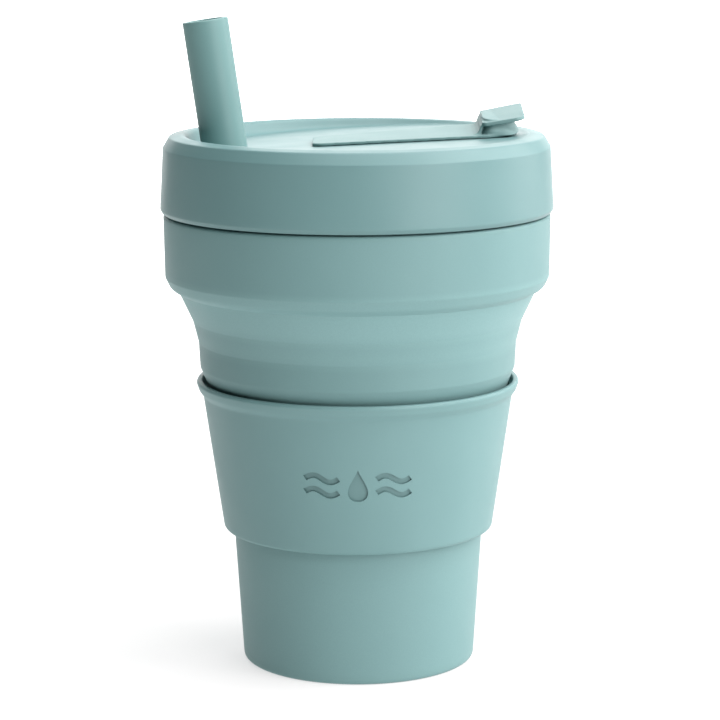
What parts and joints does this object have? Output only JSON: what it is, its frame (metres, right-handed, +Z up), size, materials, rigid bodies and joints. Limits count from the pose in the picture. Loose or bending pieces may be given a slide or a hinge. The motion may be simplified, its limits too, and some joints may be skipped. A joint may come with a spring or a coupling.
{
  "type": "collapsible travel cup",
  "caption": "Silicone travel cup that folds flat at two webs, with a rigid heat sleeve, a press-on lid with a tethered stopper, and a straw.",
  "frame": {"origin": "centre of the cup's flat foot, on the surface it stands on", "axes": "+Z up along the cup's axis, +X towards the drinking hole and its stopper, -X towards the straw, -Y towards the front"},
  "size_m": [0.1002, 0.1002, 0.1661],
  "materials": {
    "silicone_cup": "matt moulded silicone, sage teal",
    "sleeve_plastic": "satin moulded polypropylene, sage teal",
    "lid_plastic": "satin moulded polypropylene, sage teal",
    "silicone_stopper": "matt moulded silicone, sage teal",
    "silicone_straw": "matt extruded silicone, sage teal"
  },
  "bodies": {
    "base": {"cup_base": "silicone_cup", "lower_fold_web": "silicone_cup"},
    "ring": {"middle_ring": "silicone_cup", "upper_fold_web": "silicone_cup"},
    "sleeve": {"heat_sleeve": "sleeve_plastic"},
    "collar": {"cup_collar": "silicone_cup"},
    "lid": {"lid": "lid_plastic", "stopper_anchor": "silicone_stopper"},
    "stopper": {"stopper_flap": "silicone_stopper"},
    "straw": {"straw": "silicone_straw"}
  },
  "joints": [
    {"name": "collapse", "type": "slide", "parent": "ring", "child": "collar", "axis": [0, 0, -1], "range_m": [0, 0.039], "deforming": ["upper_fold_web"]},
    {"name": "lower_fold", "type": "slide", "parent": "base", "child": "ring", "axis": [0, 0, -1], "range_m": [0, 0.034], "deforming": ["lower_fold_web"]},
    {"name": "sleeve_slide", "type": "slide", "parent": "ring", "child": "sleeve", "axis": [0, 0, -1], "range_m": [0, 0.034]},
    {"name": "lid_lift", "type": "slide", "parent": "collar", "child": "lid", "axis": [0, 0, 1], "range_m": [0, 0.14]},
    {"name": "stopper_open", "type": "hinge", "parent": "lid", "child": "stopper", "pos_m": [-0.001, 0, 0.13515], "axis": [0, -1, 0], "range_deg": [0, 100]},
    {"name": "straw_slide", "type": "slide", "parent": "lid", "child": "straw", "axis": [-0.1392, 0, 0.9903], "range_m": [0, 0.1625]}
  ],
  "couplings": [
    {"joint": "lower_fold", "follows": "collapse", "ratio": 0.871},
    {"joint": "straw_slide", "follows": "collapse", "ratio": 4.16}
  ]
}
